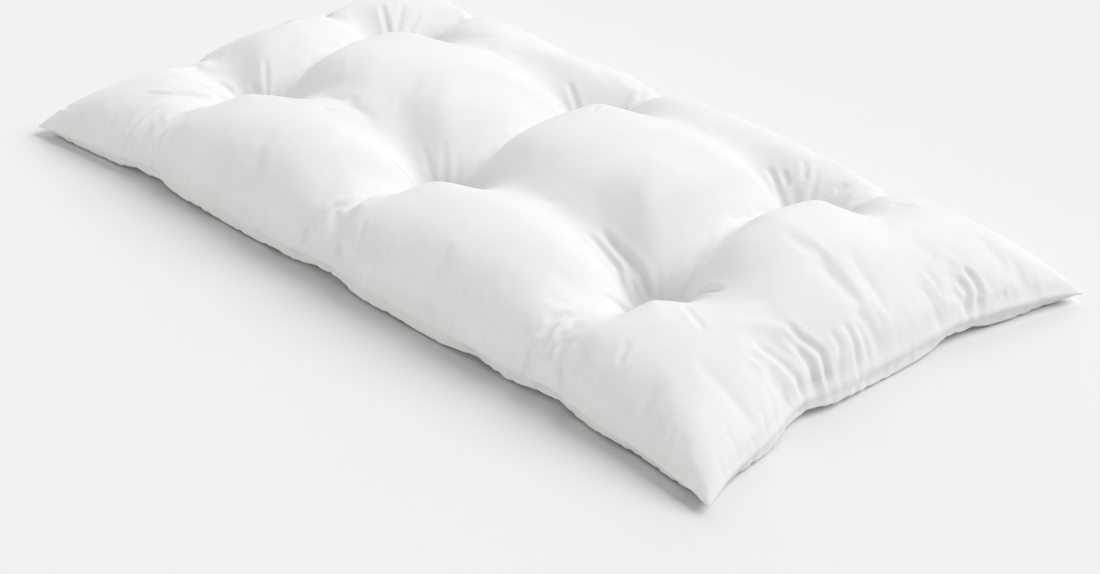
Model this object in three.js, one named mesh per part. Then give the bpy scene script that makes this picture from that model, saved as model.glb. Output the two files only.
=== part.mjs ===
// Tufted floor mattress, laid flat.
//
// A long cushion sewn from two plain white cotton panels. They meet in one knife-edge seam all
// the way round, without a boxing strip. Six blind tufts, in three columns and two rows, tie the
// two panels together through the filling, so the top swells into twelve soft crowns with
// valleys between them. The seam is drawn in between the four pointed corners.
//
// Frame, in millimetres: +X along the length, +Y across the width, +Z up. The origin lies under
// the middle of the mattress, on the surface that it rests on.

import * as THREE from "three";

// Driving sizes
const LENGTH = 1200; // from corner tip to corner tip, along X
const WIDTH = 630; // from corner tip to corner tip, along Y
const CROWN_HEIGHT = 134; // the height of a crown with a share of 1
const SEAM_HEIGHT = 22; // the seam over the floor, between the corners
const TIP_HEIGHT = 10; // the corner tips over the floor

// How far the seam is drawn in from the tip lines, between the corners
const DRAWN_IN_ENDS = 46;
const DRAWN_IN_SIDES = 24;
const NOTCH_WIDTH = 45; // the width of the notch where a valley meets the seam

// The tufts, a little uneven as on any hand-tied mattress
const TUFTS = {
  nearLeft: { x: -398, y: -106 },
  nearMiddle: { x: -46, y: -93 },
  nearRight: { x: 314, y: -104 },
  farLeft: { x: -404, y: 136 },
  farMiddle: { x: -68, y: 176 },
  farRight: { x: 298, y: 172 },
};

// Where a valley runs out from a tuft to the seam, and how far the seam is pulled in there
const VALLEYS_OUT = [
  { tuft: "nearLeft", x: -385, y: -WIDTH / 2, notch: 8 },
  { tuft: "nearMiddle", x: -40, y: -WIDTH / 2, notch: 6 },
  { tuft: "nearRight", x: 335, y: -WIDTH / 2, notch: 7 },
  { tuft: "farLeft", x: -385, y: WIDTH / 2, notch: 8 },
  { tuft: "farMiddle", x: -30, y: WIDTH / 2, notch: 6 },
  { tuft: "farRight", x: 345, y: WIDTH / 2, notch: 6 },
  { tuft: "nearLeft", x: -LENGTH / 2, y: -105, notch: 6 },
  { tuft: "farLeft", x: -LENGTH / 2, y: 110, notch: 6 },
  { tuft: "nearRight", x: LENGTH / 2, y: -122, notch: 14 },
  { tuft: "farRight", x: LENGTH / 2, y: 135, notch: 6 },
];

// The valleys between neighbouring tufts
const VALLEYS_ALONG = [
  ["nearLeft", "nearMiddle"],
  ["nearMiddle", "nearRight"],
  ["farLeft", "farMiddle"],
  ["farMiddle", "farRight"],
];
const VALLEYS_ACROSS = [
  ["nearLeft", "farLeft"],
  ["nearMiddle", "farMiddle"],
  ["nearRight", "farRight"],
];

// How full the crowns are: a row of shares along X for each place across Y
const CROWN_X = [-490, -200, 150, 470];
const CROWN_ROWS = [
  { y: -210, shares: [0.9, 0.94, 0.96, 0.9] },
  { y: 10, shares: [1.0, 0.9, 1.06, 1.14] },
  { y: 230, shares: [0.84, 0.8, 0.88, 0.92] },
];

// Each side of the mattress: how strongly a tuft and the valleys pull the panel in, as a share
// of its swell, and how wide the valleys are
const TOP = { tuft: 0.86, along: 0.3, across: 0.5, out: 0.25, width: 55 };
const UNDERSIDE = { tuft: 0.55, along: 0.25, across: 0.25, out: 0.25, width: 40 };
const TUFT_PULL_WIDTH = 80;

// The underside bulges this far below the floor level, and the floor presses it flat there
const UNDERSIDE_BULGE = 6;

// Grid steps along the length and across the width
const STEPS_ALONG = 58;
const STEPS_ACROSS = 33;

const cotton = new THREE.MeshStandardMaterial({
  color: 0xf4f4f2,
  roughness: 0.9,
  metalness: 0,
});

// A bell curve: 1 at distance 0, and down to about a third at one width
function bell(distance, width) {
  return Math.exp(-((distance / width) ** 2));
}

// The shortest distance from a spot to the straight line between two places
function distanceToLine(x, y, start, end) {
  const lineX = end.x - start.x;
  const lineY = end.y - start.y;
  const along = ((x - start.x) * lineX + (y - start.y) * lineY) / (lineX ** 2 + lineY ** 2);
  const share = Math.min(1, Math.max(0, along));
  return Math.hypot(x - start.x - share * lineX, y - start.y - share * lineY);
}

function distanceToPairs(x, y, pairs) {
  return Math.min(...pairs.map(([a, b]) => distanceToLine(x, y, TUFTS[a], TUFTS[b])));
}

// A value read between the entries of a short list, level beyond its ends
function readBetween(value, places, values) {
  const last = places.length - 1;
  const clamped = Math.min(places[last], Math.max(places[0], value));
  const i = Math.min(last - 1, places.findLastIndex((place) => place <= clamped));
  const share = (clamped - places[i]) / (places[i + 1] - places[i]);
  return values[i] + (values[i + 1] - values[i]) * share;
}

function crownShare(x, y) {
  const rows = CROWN_ROWS.map((row) => readBetween(x, CROWN_X, row.shares));
  return readBetween(y, CROWN_ROWS.map((row) => row.y), rows);
}

// The rounded rise of a panel from the seam, at share 1, to the middle, at share 0
function swell(share, sharpness) {
  return Math.sqrt(Math.max(0, 1 - Math.abs(share) ** sharpness));
}

// How strongly the valleys pull a panel in at one spot, from 0 to 1: most beside a tuft
function pull(x, y, side) {
  const toTuft = Math.min(...Object.values(TUFTS).map((tuft) => Math.hypot(x - tuft.x, y - tuft.y)));
  const distances = {
    along: distanceToPairs(x, y, VALLEYS_ALONG),
    across: distanceToPairs(x, y, VALLEYS_ACROSS),
    out: Math.min(...VALLEYS_OUT.map((row) => distanceToLine(x, y, TUFTS[row.tuft], row))),
  };
  const pulls = Object.entries(distances).map(([kind, distance]) => {
    const depth = side[kind] + (side.tuft - side[kind]) * bell(toTuft, TUFT_PULL_WIDTH);
    return depth * bell(distance, side.width);
  });
  return Math.max(...pulls);
}

// The height of the seam that surrounds a spot, lower towards the corner tips
function seamHeight(alongShare, acrossShare) {
  const cornerness = (alongShare * acrossShare) ** 8;
  return SEAM_HEIGHT + (TIP_HEIGHT - SEAM_HEIGHT) * cornerness;
}

function topHeight(x, y, alongShare, acrossShare) {
  const seam = seamHeight(alongShare, acrossShare);
  const rise = swell(alongShare, 4) * swell(acrossShare, 4) * (CROWN_HEIGHT * crownShare(x, y) - seam);
  return seam + rise * (1 - pull(x, y, TOP));
}

function undersideHeight(x, y, alongShare, acrossShare) {
  const seam = seamHeight(alongShare, acrossShare);
  const drop = swell(alongShare, 24) * swell(acrossShare, 14) * (seam + UNDERSIDE_BULGE);
  return Math.max(0, seam - drop * (1 - pull(x, y, UNDERSIDE)));
}

// Moves a spot of the uncut rectangle inwards, as the filling draws in the seam
function drawnIn(x, y) {
  const alongShare = x / (LENGTH / 2);
  const acrossShare = y / (WIDTH / 2);
  let endDepth = DRAWN_IN_ENDS * (1 - acrossShare ** 2);
  let sideDepth = DRAWN_IN_SIDES * (1 - alongShare ** 4);
  for (const valley of VALLEYS_OUT) {
    if (Math.abs(valley.y) === WIDTH / 2 && valley.y * y > 0) {
      sideDepth += valley.notch * bell(x - valley.x, NOTCH_WIDTH);
    }
    if (Math.abs(valley.x) === LENGTH / 2 && valley.x * x > 0) {
      endDepth += valley.notch * bell(y - valley.y, NOTCH_WIDTH);
    }
  }
  return {
    x: x - alongShare ** 7 * endDepth,
    y: y - acrossShare ** 7 * sideDepth,
  };
}

// Grid lines at even steps across one size of the mattress
function gridLines(size, steps) {
  return Array.from({ length: steps + 1 }, (_, step) => size * (step / steps - 0.5));
}

// One closed skin: a top and an underside grid that share the vertices of the seam
function buildSkin() {
  const xs = gridLines(LENGTH, STEPS_ALONG);
  const ys = gridLines(WIDTH, STEPS_ACROSS);
  const lastX = xs.length - 1;
  const lastY = ys.length - 1;
  const positions = [];

  function addVertex(i, j, height) {
    const spot = drawnIn(xs[i], ys[j]);
    positions.push(spot.x, spot.y, height(xs[i], ys[j], xs[i] / (LENGTH / 2), ys[j] / (WIDTH / 2)));
    return positions.length / 3 - 1;
  }

  const top = xs.map((_, i) => ys.map((__, j) => addVertex(i, j, topHeight)));
  const underside = xs.map((_, i) =>
    ys.map((__, j) => {
      const onSeam = i === 0 || j === 0 || i === lastX || j === lastY;
      return onSeam ? top[i][j] : addVertex(i, j, undersideHeight);
    }),
  );

  // Each square is split along the diagonal that runs out towards the nearest corner, so that
  // no triangle of the top lies on one of the underside at a corner tip
  const triangles = [];
  function addSquare(grid, i, j, facesUp) {
    const a = grid[i][j];
    const b = grid[i + 1][j];
    const c = grid[i + 1][j + 1];
    const d = grid[i][j + 1];
    const rising = i < lastX / 2 === j < lastY / 2;
    const pair = rising ? [[a, b, c], [a, c, d]] : [[a, b, d], [b, c, d]];
    for (const [p, q, r] of pair) {
      triangles.push(...(facesUp ? [p, q, r] : [p, r, q]));
    }
  }
  for (let i = 0; i < lastX; i += 1) {
    for (let j = 0; j < lastY; j += 1) {
      addSquare(top, i, j, true);
      addSquare(underside, i, j, false);
    }
  }

  const geometry = new THREE.BufferGeometry();
  geometry.setAttribute("position", new THREE.Float32BufferAttribute(positions, 3));
  geometry.setIndex(triangles);
  geometry.computeVertexNormals();
  return geometry;
}

const mattress = new THREE.Mesh(buildSkin(), cotton);
mattress.name = "mattress";

const part = new THREE.Group();
part.add(mattress);

export default part;
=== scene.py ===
# %% [markdown]
# # A tufted floor mattress of white cotton, laid flat
#
# The object is a long, soft floor mattress: two rectangles of plain white cotton, sewn together
# round the edge, filled with fibre and tied through in six places. Everything that makes it look
# soft comes from those few facts. The filling swells the cloth into crowns, the ties pull it into
# deep hollows, and the cloth that is left over between them gathers into folds.
#
# So this lesson builds it in the maker's order: cut, sew, fill, tie, and only then the small
# folds, the cloth's surface and the light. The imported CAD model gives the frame: its box is the
# mattress's real size, in metres, and its origin lies on the floor.

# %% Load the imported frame
import math

import bpy
import numpy as np
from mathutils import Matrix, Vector


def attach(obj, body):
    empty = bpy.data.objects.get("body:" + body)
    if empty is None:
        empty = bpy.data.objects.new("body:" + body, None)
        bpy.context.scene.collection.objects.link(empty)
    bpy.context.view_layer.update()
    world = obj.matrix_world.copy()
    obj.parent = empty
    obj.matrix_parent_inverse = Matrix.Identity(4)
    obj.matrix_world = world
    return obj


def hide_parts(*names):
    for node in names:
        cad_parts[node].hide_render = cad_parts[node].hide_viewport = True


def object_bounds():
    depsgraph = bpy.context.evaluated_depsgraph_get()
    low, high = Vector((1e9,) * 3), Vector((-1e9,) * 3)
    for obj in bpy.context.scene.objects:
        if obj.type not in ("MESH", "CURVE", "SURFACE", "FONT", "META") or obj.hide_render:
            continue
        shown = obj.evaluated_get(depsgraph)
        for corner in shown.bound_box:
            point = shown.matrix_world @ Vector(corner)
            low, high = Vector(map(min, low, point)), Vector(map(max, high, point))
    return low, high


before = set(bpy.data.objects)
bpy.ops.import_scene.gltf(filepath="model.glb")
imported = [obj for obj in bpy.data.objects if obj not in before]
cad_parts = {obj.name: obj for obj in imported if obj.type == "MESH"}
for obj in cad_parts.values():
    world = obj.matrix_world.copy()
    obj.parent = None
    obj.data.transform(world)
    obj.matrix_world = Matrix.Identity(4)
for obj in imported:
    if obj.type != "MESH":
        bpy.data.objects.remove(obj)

cad_low, cad_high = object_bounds()
bpy.ops.object.select_all(action="DESELECT")
print("CAD box:", [round(v, 3) for v in cad_low], [round(v, 3) for v in cad_high])

# %% [markdown]
# ## Sizes
#
# The length and the width come from the frame. The tufts are in a short table, because a hand
# tied mattress is never quite regular: the middle column leans and the far row lies further out.
# Each valley that runs out from a tuft ends at the seam, and the next table says where. The last
# table says how full each crown is, with the near row first and each row from left to right.

# %% Sizes of the mattress, in metres
LENGTH = cad_high.x - cad_low.x
WIDTH = cad_high.y - cad_low.y
SEAM_HEIGHT = 0.022
TIP_HEIGHT = 0.010
CROWN_HEIGHT = 0.122
ENDS_DRAWN_IN = 0.046
SIDES_DRAWN_IN = 0.024

TUFTS = {
    "near left": (-0.398, -0.106),
    "near middle": (-0.046, -0.093),
    "near right": (0.314, -0.104),
    "far left": (-0.404, 0.136),
    "far middle": (-0.068, 0.176),
    "far right": (0.298, 0.172),
}
TUFT_TOP = 0.032
TUFT_UNDERSIDE = 0.012

# name of the tuft, where its valley meets the seam, how far the seam is pulled in there
VALLEY_ENDS = [
    ("near left", (-0.385, -WIDTH / 2), 0.008),
    ("near middle", (-0.040, -WIDTH / 2), 0.006),
    ("near right", (0.335, -WIDTH / 2), 0.007),
    ("far left", (-0.385, WIDTH / 2), 0.008),
    ("far middle", (-0.030, WIDTH / 2), 0.006),
    ("far right", (0.345, WIDTH / 2), 0.006),
    ("near left", (-LENGTH / 2, -0.105), 0.006),
    ("far left", (-LENGTH / 2, 0.110), 0.006),
    ("near right", (LENGTH / 2, -0.122), 0.014),
    ("far right", (LENGTH / 2, 0.135), 0.006),
]
VALLEYS_ALONG = [
    ("near left", "near middle"),
    ("near middle", "near right"),
    ("far left", "far middle"),
    ("far middle", "far right"),
]
VALLEYS_ACROSS = [
    ("near left", "far left"),
    ("near middle", "far middle"),
    ("near right", "far right"),
]

# How full the crowns are: their middles along X and Y, then a row of shares for each Y
CROWN_X = [-0.49, -0.20, 0.15, 0.47]
CROWN_Y = [-0.21, 0.01, 0.23]
CROWN_SHARE = [
    [0.86, 0.91, 0.94, 0.88],
    [0.98, 0.84, 1.06, 1.25],
    [0.78, 0.70, 0.82, 0.88],
]
print(f"mattress {LENGTH:.3f} by {WIDTH:.3f} m, {len(TUFTS)} tufts")

# %% [markdown]
# ## Cut and sew
#
# Two flat grids are the two cut panels. The underside's grid is flipped so that its faces point
# down. Joining them and merging the vertices along the edge is the seam: from here on the two
# panels share one line of vertices, just as sewn cloth shares one line of thread.

# %% Cut two panels and sew them round the edge
CELL = 0.008
CELLS_ALONG = 2 * round(LENGTH / CELL / 2)
CELLS_ACROSS = 2 * round(WIDTH / CELL / 2)
MERGE_DISTANCE = 0.0001


def cut_panel(name, faces_down):
    bpy.ops.mesh.primitive_grid_add(
        x_subdivisions=CELLS_ALONG, y_subdivisions=CELLS_ACROSS, size=1.0
    )
    panel = bpy.context.object
    panel.name = name
    bpy.ops.object.mode_set(mode="EDIT")
    bpy.ops.mesh.select_all(action="SELECT")
    bpy.ops.transform.resize(value=(LENGTH, WIDTH, 1.0))
    if faces_down:
        bpy.ops.mesh.flip_normals()
    bpy.ops.object.mode_set(mode="OBJECT")
    side = panel.data.attributes.new("underside", "FLOAT", "POINT")
    side.data.foreach_set("value", np.full(len(panel.data.vertices), float(faces_down)))
    return panel


underside_panel = cut_panel("underside", True)
mattress = cut_panel("cotton_mattress", False)
underside_panel.select_set(True)
bpy.ops.object.join()
bpy.ops.object.mode_set(mode="EDIT")
bpy.ops.mesh.select_mode(type="VERT")
bpy.ops.mesh.select_all(action="DESELECT")
bpy.ops.mesh.select_non_manifold()
bpy.ops.mesh.remove_doubles(threshold=MERGE_DISTANCE)
bpy.ops.object.mode_set(mode="OBJECT")
print("sewn envelope:", len(mattress.data.vertices), "vertices")


# %% Read and write a mesh as arrays
def read_points(mesh):
    points = np.empty(len(mesh.vertices) * 3)
    mesh.vertices.foreach_get("co", points)
    return points.reshape(-1, 3)


def write_points(mesh, points):
    mesh.vertices.foreach_set("co", np.ascontiguousarray(points, float).ravel())
    mesh.update()


def read_attribute(mesh, name):
    values = np.empty(len(mesh.vertices))
    mesh.attributes[name].data.foreach_get("value", values)
    return values


cut = read_points(mattress.data)[:, :2].copy()
on_seam = (np.abs(cut[:, 0]) > LENGTH / 2 - CELL / 4) | (np.abs(cut[:, 1]) > WIDTH / 2 - CELL / 4)
is_underside = (read_attribute(mattress.data, "underside") > 0.5) & ~on_seam
is_top = ~is_underside & ~on_seam
for name, values in (("cut_x", cut[:, 0]), ("cut_y", cut[:, 1]), ("seam", on_seam.astype(float))):
    attribute = mattress.data.attributes.new(name, "FLOAT", "POINT")
    attribute.data.foreach_set("value", values)
print("top, underside, seam:", is_top.sum(), is_underside.sum(), on_seam.sum())

# %% [markdown]
# ## The first, loose filling
#
# Cloth simulation needs a start that is near the end. A flat bag blown up from nothing folds at
# random, so the panels are first laid by formula into the loose shape of a filled mattress:
# crowns, valleys along the lines between the tufts, and a seam that is drawn in between the
# corner tips. The simulation then adds what no formula has: folds that answer to each other.


# %% Shape helpers
def bell(distance, width):
    return np.exp(-((distance / width) ** 2))


def swell(share, sharpness):
    return np.sqrt(np.clip(1 - np.abs(share) ** sharpness, 0, 1))


def signed_power(share, power):
    return np.sign(share) * np.abs(share) ** power


def distance_to(points, place):
    return np.hypot(points[:, 0] - place[0], points[:, 1] - place[1])


def along_line(points, start, end):
    start, end = np.array(start), np.array(end)
    line = end - start
    share = np.clip((points - start) @ line / (line @ line), 0, 1)
    return share, np.linalg.norm(points - (start + share[:, None] * line), axis=1)


def to_lines(lines):
    return np.min([along_line(cut, start, end)[1] for start, end in lines], axis=0)


to_tuft = np.min([distance_to(cut, place) for place in TUFTS.values()], axis=0)
to_valley_along = to_lines([(TUFTS[a], TUFTS[b]) for a, b in VALLEYS_ALONG])
to_valley_across = to_lines([(TUFTS[a], TUFTS[b]) for a, b in VALLEYS_ACROSS])
to_valley_out = to_lines([(TUFTS[name], place) for name, place, _ in VALLEY_ENDS])

# %% Lay the panels into the loose shape
TOP_PULL = {"tuft": 0.86, "along": 0.30, "across": 0.50, "out": 0.15, "width": 0.050}
UNDERSIDE_PULL = {"tuft": 0.55, "along": 0.25, "across": 0.25, "out": 0.25, "width": 0.040}
TUFT_REACH = 0.080
ROUNDING = 4
TUFT_HOLLOW = {"depth": 0.86, "width": 0.062}
NOTCH_WIDTH = 0.045
LOWEST = 0.004
STRONGEST_PULL = 0.97
TOP_SWELL = 4
UNDERSIDE_SWELL = {"along": 24, "across": 14}
TIP_SHARPNESS = 8
DRAWN_IN_REACH = {"top": 7, "underside": 12}


def valley_pull(side, kind, to_valley):
    depth = side[kind] + (side["tuft"] - side[kind]) * bell(to_tuft, TUFT_REACH)
    return depth * bell(to_valley, side["width"])


def rounded_max(first, *others):
    # The largest of some values, with no sharp ridge in the shape where two of them are equal
    total = first**ROUNDING
    for other in others:
        total = total + other**ROUNDING
    return np.minimum(total ** (1 / ROUNDING), STRONGEST_PULL)


def pull(side):
    return rounded_max(
        valley_pull(side, "along", to_valley_along),
        valley_pull(side, "across", to_valley_across),
        valley_pull(side, "out", to_valley_out),
    )


def crown_share():
    rows = np.array([np.interp(cut[:, 0], CROWN_X, shares) for shares in CROWN_SHARE])
    place = np.interp(cut[:, 1], CROWN_Y, range(len(CROWN_Y)))
    lower = np.clip(place.astype(int), 0, len(CROWN_Y) - 2)
    vertex = np.arange(len(cut))
    upper_weight = place - lower
    return rows[lower, vertex] * (1 - upper_weight) + rows[lower + 1, vertex] * upper_weight


along = cut[:, 0] / (LENGTH / 2)
across = cut[:, 1] / (WIDTH / 2)
notch = np.zeros((len(cut), 2))
for name, place, depth in VALLEY_ENDS:
    axis = 0 if abs(place[0]) > LENGTH / 2 - CELL else 1
    same_side = np.sign(cut[:, axis]) == np.sign(place[axis])
    notch[:, axis] += depth * bell(cut[:, 1 - axis] - place[1 - axis], NOTCH_WIDTH) * same_side
ends_in = ENDS_DRAWN_IN * (1 - across**2) + notch[:, 0]
sides_in = SIDES_DRAWN_IN * (1 - along**4) + notch[:, 1]

seam_height = SEAM_HEIGHT + (TIP_HEIGHT - SEAM_HEIGHT) * (along * across) ** TIP_SHARPNESS
top_pull = rounded_max(pull(TOP_PULL), TUFT_HOLLOW["depth"] * bell(to_tuft, TUFT_HOLLOW["width"]))
full_height = CROWN_HEIGHT * crown_share() - seam_height
rise = swell(along, TOP_SWELL) * swell(across, TOP_SWELL) * full_height
top_height = seam_height + rise * (1 - top_pull)
flatness = swell(along, UNDERSIDE_SWELL["along"]) * swell(across, UNDERSIDE_SWELL["across"])
drop = flatness * (seam_height + LOWEST)
underside_height = np.maximum(LOWEST, seam_height - drop * (1 - pull(UNDERSIDE_PULL)))
reach = np.where(is_underside, DRAWN_IN_REACH["underside"], DRAWN_IN_REACH["top"])

loose = np.column_stack([
    cut[:, 0] - signed_power(along, reach) * ends_in,
    cut[:, 1] - signed_power(across, reach) * sides_in,
    np.where(is_underside, underside_height, top_height),
])
print("loose filling, height:", round(loose[:, 2].max(), 3))

# %% [markdown]
# ## Tie and fill
#
# Now the cloth simulation, and the facts that drive it. The cloth is a little larger than the
# space it spans, most beside the tufts and where a valley meets the seam, because that is where
# a maker gathers it. The ties hold the two panels at fixed heights. The filling presses outwards, which
# Blender's cloth has as pressure. The seam is held softly: sewn cloth can't stretch away, but it
# may pucker. The floor is a collision plane, so the underside lies flat.

# %% Tie, fill and settle the cloth
EXCESS = {"top": 0.015, "underside": 0.02, "seam": 0.005, "tuft": 0.05, "valley_end": 0.07}
EXCESS_AT_TUFT = 0.050
EXCESS_AT_END = 0.030
SEAM_HOLD = 0.3
PRESSURE = 3.0
FRAMES = 20


def nearest_vertex(place, side):
    candidates = np.where(side)[0]
    return int(candidates[np.argmin(distance_to(cut[candidates], place))])


def fill_group(name, weights):
    group = mattress.vertex_groups.new(name=name)
    steps = np.round(weights, 3)
    for weight in np.unique(steps[steps > 0]):
        group.add([int(i) for i in np.where(steps == weight)[0]], float(weight), "REPLACE")
    return name


def tie_tufts(hold):
    for place in TUFTS.values():
        for side, height in ((is_top, TUFT_TOP), (is_underside, TUFT_UNDERSIDE)):
            vertex = nearest_vertex(place, side)
            loose[vertex, 2] = height
            hold[vertex] = 1.0


def extra_cloth():
    extra = np.where(is_top, EXCESS["top"], np.where(on_seam, EXCESS["seam"], EXCESS["underside"]))
    extra = extra + EXCESS["tuft"] * bell(to_tuft, EXCESS_AT_TUFT) * ~on_seam
    for name, place, _ in VALLEY_ENDS:
        share, distance = along_line(cut, TUFTS[name], place)
        extra = extra + EXCESS["valley_end"] * bell(distance, EXCESS_AT_END) * share**2 * is_top
    return extra


def add_cloth(hold, extra):
    cloth = mattress.modifiers.new("Cloth", "CLOTH")
    settings = cloth.settings
    settings.quality = 5
    settings.mass = 0.01
    settings.air_damping = 1.0
    settings.tension_stiffness = 40.0
    settings.compression_stiffness = 15.0
    settings.shear_stiffness = 5.0
    settings.bending_stiffness = 0.05
    settings.tension_damping = 5.0
    settings.compression_damping = 5.0
    settings.shear_damping = 5.0
    settings.bending_damping = 0.5
    settings.use_pressure = True
    settings.uniform_pressure_force = PRESSURE
    settings.vertex_group_mass = fill_group("held", hold)
    # Blender has only shrinking, so extra cloth is shrinking below zero, and a vertex with no
    # weight in the group gets the most of it
    less = (extra.max() - extra) / (extra.max() - extra.min())
    settings.vertex_group_shrink = fill_group("less cloth", less)
    settings.shrink_min = -float(extra.max())
    settings.shrink_max = -float(extra.min())
    settings.effector_weights.gravity = 0.0
    cloth.collision_settings.distance_min = 0.001
    cloth.collision_settings.collision_quality = 2
    cloth.point_cache.frame_start = 1
    cloth.point_cache.frame_end = FRAMES


def add_settling_floor():
    bpy.ops.mesh.primitive_plane_add(size=4.0)
    plane = bpy.context.object
    plane.modifiers.new("Collision", "COLLISION")
    plane.collision.thickness_outer = 0.001
    plane.collision.cloth_friction = 5.0
    plane.collision.damping = 0.5
    return plane


hold = np.where(on_seam, SEAM_HOLD, 0.0)
hold[np.abs(along * across) > 0.999] = 1.0
tie_tufts(hold)
write_points(mattress.data, loose)
settling_floor = add_settling_floor()
bpy.ops.object.select_all(action="DESELECT")
bpy.context.view_layer.objects.active = mattress
mattress.select_set(True)
add_cloth(hold, extra_cloth())
scene = bpy.context.scene
scene.frame_start = 1
scene.frame_end = FRAMES
for number in range(1, FRAMES + 1):
    scene.frame_set(number)
bpy.ops.object.modifier_apply(modifier="Cloth")
bpy.data.objects.remove(settling_floor)
settled = read_points(mattress.data)
settled[:, 2] -= settled[:, 2].min()
write_points(mattress.data, settled)
print("settled:", settled.min(axis=0).round(3), settled.max(axis=0).round(3))

# %% [markdown]
# ## A finer cloth
#
# The settled cells are 8 mm wide, which is coarse for creases of 4 mm. Two subdivisions round
# them and leave 2 mm between vertices. They are applied here, so that what follows can move the
# fine vertices themselves, and the finished mesh needs no live modifier.

# %% Smooth the cells away
bpy.context.view_layer.objects.active = mattress
mattress.select_set(True)
smoother = mattress.modifiers.new("Subdivision", "SUBSURF")
smoother.levels = 2
smoother.render_levels = 2
bpy.ops.object.modifier_apply(modifier="Subdivision")
bpy.ops.object.shade_smooth()
mattress.vertex_groups.clear()
print("fine cloth:", len(mattress.data.vertices), "vertices")

# %% [markdown]
# ## Creases, pleats and puckers
#
# The simulation's cells are 8 mm wide, so it can't make the small creases of thin cotton, which
# are about 4 mm wide. A crease on real cloth is a narrow groove with a low ridge on both sides,
# where the cloth that went into it comes up again. That is a simple formula of the distance to
# a line, so every crease is one line on the cut cloth, and the cloth is pressed in along it.
#
# The creases that a person would notice are in a table. Their places were read off the photograph
# and rounded to 5 mm, and their depths are judged. The many small ones are drawn at random
# with a fixed seed: pleats that fan out from each tuft, and puckers along the seam, where the
# thread is a little too tight. Each tuft also gets a narrow funnel, steeper than the cells can
# make, where the tie pulls the cloth down.

# %% Press a crease into the cloth
fine = read_points(mattress.data)
fine_cut = np.column_stack([
    read_attribute(mattress.data, "cut_x"), read_attribute(mattress.data, "cut_y")
])
seam_share = read_attribute(mattress.data, "seam")
under_share = np.clip(read_attribute(mattress.data, "underside"), 0, 1)
on_top = (under_share < 0.5) | (seam_share > 0.75)
RIDGE_SHARE = 0.35
RIDGE_PLACE = 1.8
RIDGE_WIDTH = 0.9
SEAM_SHARE_OF_CREASE = 0.3
TAPER = 0.25
pressed = np.zeros(len(fine))


def path_distance(points, path):
    # How far along a bent path the nearest spot is, as a share, and how far away it is
    path = np.array(path)
    lengths = np.linalg.norm(np.diff(path, axis=0), axis=1)
    starts = np.concatenate([[0.0], np.cumsum(lengths)])
    best = np.full(len(points), np.inf)
    share = np.zeros(len(points))
    for i in range(len(lengths)):
        part, distance = along_line(points, path[i], path[i + 1])
        closer = distance < best
        best[closer] = distance[closer]
        share[closer] = (starts[i] + part[closer] * lengths[i]) / starts[-1]
    return share, best


def is_at_edge(place):
    return abs(place[0]) > LENGTH / 2 - CELL or abs(place[1]) > WIDTH / 2 - CELL


def press_crease(path, depth, width, side, open_start=False):
    middle = np.mean(path, axis=0)
    half = np.max(np.linalg.norm(np.array(path) - middle, axis=1)) + 4 * width
    near = np.where(side & (np.abs(fine_cut - middle).max(axis=1) < half))[0]
    share, distance = path_distance(fine_cut[near], path)
    t = distance / width
    ridge = np.exp(-(((t - RIDGE_PLACE) / RIDGE_WIDTH) ** 2))
    groove = np.exp(-(t**2)) - RIDGE_SHARE * ridge
    taper = np.ones(len(near)) if open_start else np.clip(share / TAPER, 0, 1)
    if not is_at_edge(path[-1]):
        taper = taper * np.clip((1 - share) / TAPER, 0, 1)
    taper = taper * taper * (3 - 2 * taper)
    at_seam = 1 - (1 - SEAM_SHARE_OF_CREASE) * seam_share[near]
    pressed[near] += depth * groove * taper * at_seam


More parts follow.
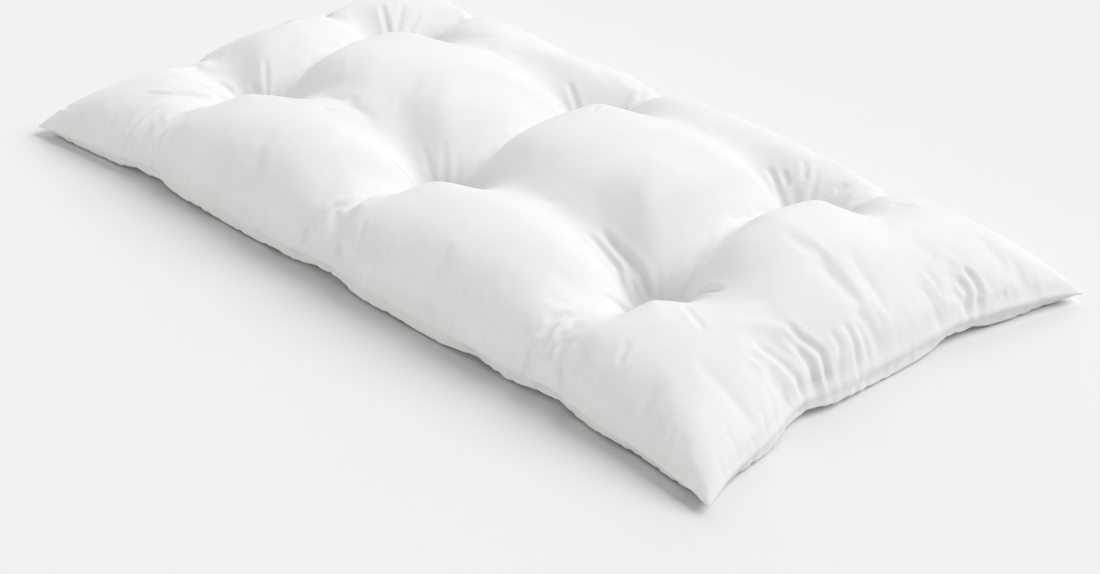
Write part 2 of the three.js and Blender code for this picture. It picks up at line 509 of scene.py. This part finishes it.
# %% The creases that show: how deep, and where they run on the cut top panel, in metres
STRONG = 0.0036
PLAIN = 0.0022
FAINT = 0.0013
CREASE_WIDTH = 0.0042
CREASES = [
    # beside the near right tuft
    (STRONG, [(0.345, -0.105), (0.385, -0.095), (0.425, -0.100)]),
    (FAINT, [(0.470, -0.175), (0.405, -0.150)]),
    (STRONG, [(0.210, -0.090), (0.245, -0.090), (0.275, -0.085), (0.300, -0.090)]),
    (PLAIN, [(0.205, -0.105), (0.240, -0.105), (0.270, -0.100)]),
    # from the near right tuft to the near side
    (STRONG, [(0.315, -0.210), (0.310, -0.250), (0.310, -0.285), (0.300, -0.315)]),
    (FAINT, [(0.355, -0.235), (0.330, -0.265), (0.325, -0.300)]),
    (PLAIN, [(0.355, -0.260), (0.340, -0.280), (0.350, -0.305), (0.360, -0.315)]),
    (FAINT, [(0.290, -0.280), (0.285, -0.295)]),
    (FAINT, [(0.410, -0.235), (0.415, -0.255), (0.420, -0.270)]),
    # from the near middle tuft to the near side
    (STRONG, [(-0.050, -0.230), (-0.055, -0.265), (-0.065, -0.290), (-0.080, -0.315)]),
    (PLAIN, [(-0.015, -0.255), (-0.035, -0.275), (-0.040, -0.290)]),
    (PLAIN, [(0.005, -0.260), (0.010, -0.280), (0.015, -0.305)]),
    (PLAIN, [(-0.020, -0.280), (-0.020, -0.300), (-0.010, -0.315)]),
    (PLAIN, [(-0.030, -0.080), (-0.015, -0.065), (-0.005, -0.035), (0.000, -0.005)]),
    (FAINT, [(-0.025, -0.085), (0.000, -0.065), (0.010, -0.035), (0.015, -0.010)]),
    # round the near left tuft
    (STRONG, [(-0.475, -0.245), (-0.440, -0.215), (-0.425, -0.180), (-0.420, -0.155)]),
    (PLAIN, [(-0.465, -0.155), (-0.450, -0.145), (-0.435, -0.135)]),
    (PLAIN, [(-0.480, -0.120), (-0.465, -0.115), (-0.445, -0.115)]),
    (PLAIN, [(-0.425, -0.240), (-0.430, -0.260), (-0.435, -0.295), (-0.430, -0.315)]),
    (PLAIN, [(-0.350, -0.220), (-0.375, -0.240), (-0.380, -0.265), (-0.380, -0.315)]),
    (FAINT, [(-0.225, -0.140), (-0.210, -0.125)]),
    # from the near right tuft to the near end
    (STRONG, [(0.510, -0.095), (0.545, -0.090), (0.575, -0.075), (0.600, -0.075)]),
    (PLAIN, [(0.510, -0.140), (0.540, -0.130), (0.570, -0.120), (0.600, -0.110)]),
    (PLAIN, [(0.525, -0.105), (0.570, -0.095), (0.600, -0.090)]),
    (PLAIN, [(0.555, -0.055), (0.580, -0.050), (0.600, -0.060)]),
    (PLAIN, [(0.555, -0.035), (0.580, -0.030), (0.600, -0.030)]),
    (FAINT, [(0.565, -0.020), (0.600, -0.010)]),
    (FAINT, [(0.520, -0.155), (0.545, -0.145)]),
    # from the far right tuft to the near end
    (FAINT, [(0.535, 0.115), (0.560, 0.120), (0.585, 0.125)]),
    (STRONG, [(0.545, 0.170), (0.570, 0.175), (0.585, 0.175), (0.600, 0.165)]),
    (PLAIN, [(0.555, 0.155), (0.585, 0.160), (0.600, 0.150)]),
    (PLAIN, [(0.590, 0.210), (0.600, 0.195)]),
    # round the far right tuft
    (PLAIN, [(0.230, 0.200), (0.250, 0.195)]),
    (PLAIN, [(0.240, 0.230), (0.260, 0.210)]),
    (PLAIN, [(0.215, 0.190), (0.245, 0.185)]),
    (PLAIN, [(0.290, 0.230), (0.295, 0.250)]),
    (PLAIN, [(0.400, 0.200), (0.430, 0.220)]),
    (FAINT, [(0.435, 0.105), (0.440, 0.160)]),
    # round the far left and the far middle tuft
    (PLAIN, [(-0.510, 0.190), (-0.465, 0.165), (-0.425, 0.145)]),
    (FAINT, [(-0.485, 0.215), (-0.450, 0.175), (-0.420, 0.150)]),
    (FAINT, [(-0.450, 0.220), (-0.435, 0.185), (-0.415, 0.155)]),
    (FAINT, [(0.040, 0.065), (0.025, 0.095)]),
]
for depth, path in CREASES:
    press_crease(path, depth, CREASE_WIDTH, on_top)
print("creases in the table:", len(CREASES))

# %% Pleats that fan out from the tufts
PLEATS = 14
PLEAT_START = 0.008
PLEAT_REACH = (0.035, 0.080)
PLEAT_DEPTH = (0.0008, 0.0024)
PLEAT_WIDTH = 0.004
FUNNEL_DEPTH = 0.020
FUNNEL_WIDTH = 0.018
PLEAT_SCATTER = 0.35
SEED = 12
chance = np.random.default_rng(SEED)


def fan_of_pleats(place, side):
    turn = chance.uniform(0, math.tau)
    for step in range(PLEATS):
        angle = turn + math.tau * (step + chance.uniform(-PLEAT_SCATTER, PLEAT_SCATTER)) / PLEATS
        ray = np.array([math.cos(angle), math.sin(angle)])
        start = np.array(place) + PLEAT_START * ray
        end = np.array(place) + chance.uniform(*PLEAT_REACH) * ray
        depth = chance.uniform(*PLEAT_DEPTH)
        press_crease([start, end], depth, PLEAT_WIDTH, side, open_start=True)


for place in TUFTS.values():
    fan_of_pleats(place, on_top)
    fan_of_pleats(place, ~on_top)
    pressed += FUNNEL_DEPTH * np.exp(-distance_to(fine_cut, place) / FUNNEL_WIDTH) * on_top
print("pleats at the tufts:", 2 * PLEATS * len(TUFTS))

# %% Puckers along the seam
PUCKER_GAP = (0.014, 0.036)
PUCKER_REACH = (0.014, 0.045)
PUCKER_DEPTH = (0.0003, 0.0012)
PUCKER_LEAN = 0.35
PUCKER_WIDTH = 0.0040
pucker_count = 0


def pucker_from(place, inwards, across, side):
    reach = chance.uniform(*PUCKER_REACH)
    lean = chance.uniform(-PUCKER_LEAN, PUCKER_LEAN)
    inner = place + reach * (inwards + lean * across)
    press_crease([inner, place], chance.uniform(*PUCKER_DEPTH), PUCKER_WIDTH, side)


for axis, half, span in ((0, LENGTH / 2, WIDTH / 2), (1, WIDTH / 2, LENGTH / 2)):
    for sign in (-1.0, 1.0):
        inwards = np.array([-sign, 0.0]) if axis == 0 else np.array([0.0, -sign])
        across_seam = np.array([0.0, 1.0]) if axis == 0 else np.array([1.0, 0.0])
        for side in (on_top, ~on_top):
            run = -span + PUCKER_GAP[1]
            while run < span - PUCKER_GAP[1]:
                pucker_from(-half * inwards + run * across_seam, inwards, across_seam, side)
                run += chance.uniform(*PUCKER_GAP)
                pucker_count += 1
print("puckers along the seam:", pucker_count)

# %% Press the creases in, and turn the seam's edge out
SEAM_LIP = 0.0020
LIP_GROOVE = 0.0012
normals = np.empty(len(fine) * 3)
mattress.data.vertex_normals.foreach_get("vector", normals)
normals = normals.reshape(-1, 3)
outwards = fine * [1.0, 1.0, 0.0]
outwards[:, 0] *= np.abs(fine_cut[:, 0]) > LENGTH / 2 - CELL
outwards[:, 1] *= np.abs(fine_cut[:, 1]) > WIDTH / 2 - CELL
outwards /= np.maximum(np.linalg.norm(outwards, axis=1), 0.001)[:, None]
to_edge = np.minimum(LENGTH / 2 - np.abs(fine_cut[:, 0]), WIDTH / 2 - np.abs(fine_cut[:, 1]))
tip_guard = 1 - np.abs(fine_cut[:, 0] * fine_cut[:, 1] / (LENGTH * WIDTH / 4)) ** 20
lip = SEAM_LIP * (seam_share > 0.75) * tip_guard
groove = LIP_GROOVE * bell(to_edge - CELL * 0.75, CELL * 0.6) * (seam_share < 0.75) * tip_guard
fine = fine - normals * (pressed + groove)[:, None] + outwards * lip[:, None]
fine[:, 2] = np.maximum(fine[:, 2], 0.0)
write_points(mattress.data, fine)
print("deepest crease:", round(pressed.max() * 1000, 1), "mm")

# %% [markdown]
# ## The cotton
#
# The cloth is plain white cotton in plain weave: matt, with a faint fuzz, slightly uneven thick
# threads and a tone that is never quite the same twice. Threads laid on the object's
# coordinates would stretch on the steep sides, so the pattern reads the two cut attributes,
# which are the cloth's own warp and weft. The weave is a node group that gives a height and a mask, because
# a height feeds the bump and a mask feeds the colour, whatever the cloth's finish is.

# %% A node group for plain weave
THREADS_PER_METRE = 900.0
SLUBS_PER_METRE = 160.0
CLOUDS_PER_METRE = 9.0


def add_socket(tree, name, in_out, kind):
    return tree.interface.new_socket(name=name, in_out=in_out, socket_type=kind)


def plain_weave_group():
    tree = bpy.data.node_groups.new("plain_weave", "ShaderNodeTree")
    add_socket(tree, "Cloth", "INPUT", "NodeSocketVector")
    add_socket(tree, "Height", "OUTPUT", "NodeSocketFloat")
    add_socket(tree, "Tone", "OUTPUT", "NodeSocketFloat")
    add_socket(tree, "Roughness", "OUTPUT", "NodeSocketFloat")
    nodes, links = tree.nodes, tree.links
    given = nodes.new("NodeGroupInput")
    result = nodes.new("NodeGroupOutput")

    def threads(direction):
        wave = nodes.new("ShaderNodeTexWave")
        wave.bands_direction = direction
        wave.inputs["Scale"].default_value = THREADS_PER_METRE / 20
        wave.inputs["Distortion"].default_value = 1.5
        wave.inputs["Detail Scale"].default_value = 3.0
        links.new(given.outputs["Cloth"], wave.inputs["Vector"])
        return wave.outputs["Fac"]

    def slubs(stretch):
        mapping = nodes.new("ShaderNodeMapping")
        mapping.inputs["Scale"].default_value = stretch
        noise = nodes.new("ShaderNodeTexNoise")
        noise.inputs["Scale"].default_value = SLUBS_PER_METRE
        noise.inputs["Detail"].default_value = 3.0
        links.new(given.outputs["Cloth"], mapping.inputs["Vector"])
        links.new(mapping.outputs["Vector"], noise.inputs["Vector"])
        return noise.outputs["Fac"]

    def add(first, second, share):
        blend = nodes.new("ShaderNodeMath")
        blend.operation = "MULTIPLY_ADD"
        blend.inputs[1].default_value = share
        links.new(first, blend.inputs[0])
        links.new(second, blend.inputs[2])
        return blend.outputs["Value"]

    warp, weft = threads("X"), threads("Y")
    thick_warp, thick_weft = slubs((2.5, 0.25, 1.0)), slubs((0.25, 2.5, 1.0))
    clouds = nodes.new("ShaderNodeTexNoise")
    clouds.inputs["Scale"].default_value = CLOUDS_PER_METRE
    clouds.inputs["Detail"].default_value = 4.0
    links.new(given.outputs["Cloth"], clouds.inputs["Vector"])
    woven = add(warp, weft, 1.0)
    slubbed = add(thick_warp, thick_weft, 1.0)
    links.new(add(woven, slubbed, 0.15), result.inputs["Height"])
    links.new(add(slubbed, clouds.outputs["Fac"], 0.35), result.inputs["Tone"])
    rough = nodes.new("ShaderNodeMapRange")
    rough.inputs["From Min"].default_value = 0.6
    rough.inputs["From Max"].default_value = 1.4
    rough.inputs["To Min"].default_value = 0.84
    rough.inputs["To Max"].default_value = 0.96
    links.new(slubbed, rough.inputs["Value"])
    links.new(rough.outputs["Result"], result.inputs["Roughness"])
    return tree


plain_weave = plain_weave_group()
print("node group:", plain_weave.name)

# %% White cotton
COTTON_LIGHT = (0.765, 0.775, 0.785, 1.0)
COTTON_DARK = (0.715, 0.720, 0.725, 1.0)
# Painted shade: the underside panel, which faces the floor, gets a darker, warmer cream, though both panels
# are the same white cotton
UNDERSIDE_PAINTED_SHADE = (0.745, 0.738, 0.715, 1.0)
WEAVE_DEPTH = 0.00015
WEAVE_STRENGTH = 0.35
SHEEN = 0.08
SHEEN_ROUGHNESS = 0.5
SHINE = 0.2


def attribute_node(tree, name):
    node = tree.nodes.new("ShaderNodeAttribute")
    node.attribute_name = name
    return node.outputs["Fac"]


def mix_colours(tree, mask, first, second):
    mix = tree.nodes.new("ShaderNodeMix")
    mix.data_type = "RGBA"
    tree.links.new(mask, mix.inputs["Factor"])
    for socket, value in (("A", first), ("B", second)):
        place = next(i for i in mix.inputs if i.name == socket and i.type == "RGBA")
        if isinstance(value, tuple):
            place.default_value = value
        else:
            tree.links.new(value, place)
    return next(o for o in mix.outputs if o.type == "RGBA")


def white_cotton():
    material = bpy.data.materials.new("white_cotton")
    material.use_nodes = True
    tree = material.node_tree
    shader = tree.nodes["Principled BSDF"]
    shader.inputs["Sheen Weight"].default_value = SHEEN
    shader.inputs["Sheen Roughness"].default_value = SHEEN_ROUGHNESS
    shader.inputs["Specular IOR Level"].default_value = SHINE
    cloth = tree.nodes.new("ShaderNodeCombineXYZ")
    tree.links.new(attribute_node(tree, "cut_x"), cloth.inputs["X"])
    tree.links.new(attribute_node(tree, "cut_y"), cloth.inputs["Y"])
    tree.links.new(attribute_node(tree, "underside"), cloth.inputs["Z"])
    weave = tree.nodes.new("ShaderNodeGroup")
    weave.node_tree = plain_weave
    tree.links.new(cloth.outputs["Vector"], weave.inputs["Cloth"])
    tone = tree.nodes.new("ShaderNodeMapRange")
    tone.inputs["From Min"].default_value = 0.55
    tone.inputs["From Max"].default_value = 1.15
    tree.links.new(weave.outputs["Tone"], tone.inputs["Value"])
    plain = mix_colours(tree, tone.outputs["Result"], COTTON_DARK, COTTON_LIGHT)
    # painted shade: the underside panel is mixed towards a darker, warmer cream where it faces the floor
    colour = mix_colours(tree, attribute_node(tree, "underside"), plain, UNDERSIDE_PAINTED_SHADE)
    tree.links.new(colour, shader.inputs["Base Color"])
    tree.links.new(weave.outputs["Roughness"], shader.inputs["Roughness"])
    bump = tree.nodes.new("ShaderNodeBump")
    bump.inputs["Strength"].default_value = WEAVE_STRENGTH
    bump.inputs["Distance"].default_value = WEAVE_DEPTH
    tree.links.new(weave.outputs["Height"], bump.inputs["Height"])
    tree.links.new(bump.outputs["Normal"], shader.inputs["Normal"])
    return material


mattress.data.materials.append(white_cotton())

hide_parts("mattress")
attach(mattress, "root")

# %% [markdown]
# ## Floor and light
#
# White cloth on a pale floor leaves little to see but its shading, so the light matters more than
# on a coloured piece. A wide sun from the far side gives soft shadows on the near side, and a
# weaker one from the other end softens the valleys. A low fill lights the near side. It is linked
# to the mattress alone, so that it doesn't wash out the shadow under the edge.

# %% Floor and studio
FLOOR_SIZE = 80.0
FLOOR_COLOUR = (0.82, 0.82, 0.825, 1.0)
FLOOR_ROUGHNESS = 0.9
STUDIO_COLOUR = (0.98, 0.99, 1.0, 1.0)
STUDIO_STRENGTH = 0.40

bpy.ops.mesh.primitive_plane_add(size=FLOOR_SIZE)
floor = bpy.context.object
floor.name = "floor"
paper = bpy.data.materials.new("pale_floor")
paper.use_nodes = True
paper_shader = paper.node_tree.nodes["Principled BSDF"]
paper_shader.inputs["Base Color"].default_value = FLOOR_COLOUR
paper_shader.inputs["Roughness"].default_value = FLOOR_ROUGHNESS
floor.data.materials.append(paper)

world = bpy.data.worlds.new("studio")
bpy.context.scene.world = world
world.use_nodes = True
world.node_tree.nodes["Background"].inputs["Color"].default_value = STUDIO_COLOUR
world.node_tree.nodes["Background"].inputs["Strength"].default_value = STUDIO_STRENGTH
print("floor:", FLOOR_SIZE, "m across")


# %% Lights
def aim(thing, back, distance, target):
    thing.location = target + back * distance
    thing.rotation_mode = "QUATERNION"
    thing.rotation_quaternion = (-back).to_track_quat("-Z", "Y")


def direction(azimuth, elevation):
    a, e = math.radians(azimuth), math.radians(elevation)
    return Vector((math.sin(a) * math.cos(e), -math.cos(a) * math.cos(e), math.sin(e)))


SUN_DISTANCE = 3.0
FILL_COLOUR = (1.0, 0.985, 0.95)


def add_sun(name, azimuth, elevation, width, energy):
    data = bpy.data.lights.new(name, "SUN")
    data.angle = math.radians(width)
    data.energy = energy
    sun = bpy.data.objects.new(name, data)
    bpy.context.scene.collection.objects.link(sun)
    aim(sun, direction(azimuth, elevation), SUN_DISTANCE, Vector((0.0, 0.0, 0.0)))
    return sun


add_sun("key", 140, 45, 44, 2.30)
add_sun("back_light", 218, 30, 50, 0.95)
fill = add_sun("fill", -8, 14, 60, 1.32)
fill.data.color = FILL_COLOUR
lit_by_fill = bpy.data.collections.new("lit by fill")
lit_by_fill.objects.link(mattress)
fill.light_linking.receiver_collection = lit_by_fill

# %% [markdown]
# ## The camera
#
# It looks along the mattress from its near right corner, about 30 degrees above the floor. The
# focal length is written in pixels of a picture 1100 pixels wide, because that is how it was
# measured, and the lens in millimetres follows from it.

# %% Camera
CAMERA_AZIMUTH = 46.4
CAMERA_ELEVATION = 29.7
CAMERA_DISTANCE = 3.012
CAMERA_TARGET = Vector((0.15, -0.108, 0.0))
FOCAL_LENGTH_IN_PIXELS = 2590.0
PHOTO_WIDTH_IN_PIXELS = 1100.0
camera_data = bpy.data.cameras.new("camera")
camera_data.sensor_width = 36.0
camera_data.lens = camera_data.sensor_width * FOCAL_LENGTH_IN_PIXELS / PHOTO_WIDTH_IN_PIXELS
camera = bpy.data.objects.new("camera", camera_data)
bpy.context.scene.collection.objects.link(camera)
bpy.context.scene.camera = camera
aim(camera, direction(CAMERA_AZIMUTH, CAMERA_ELEVATION), CAMERA_DISTANCE, CAMERA_TARGET)
bpy.context.scene.view_settings.view_transform = "Standard"
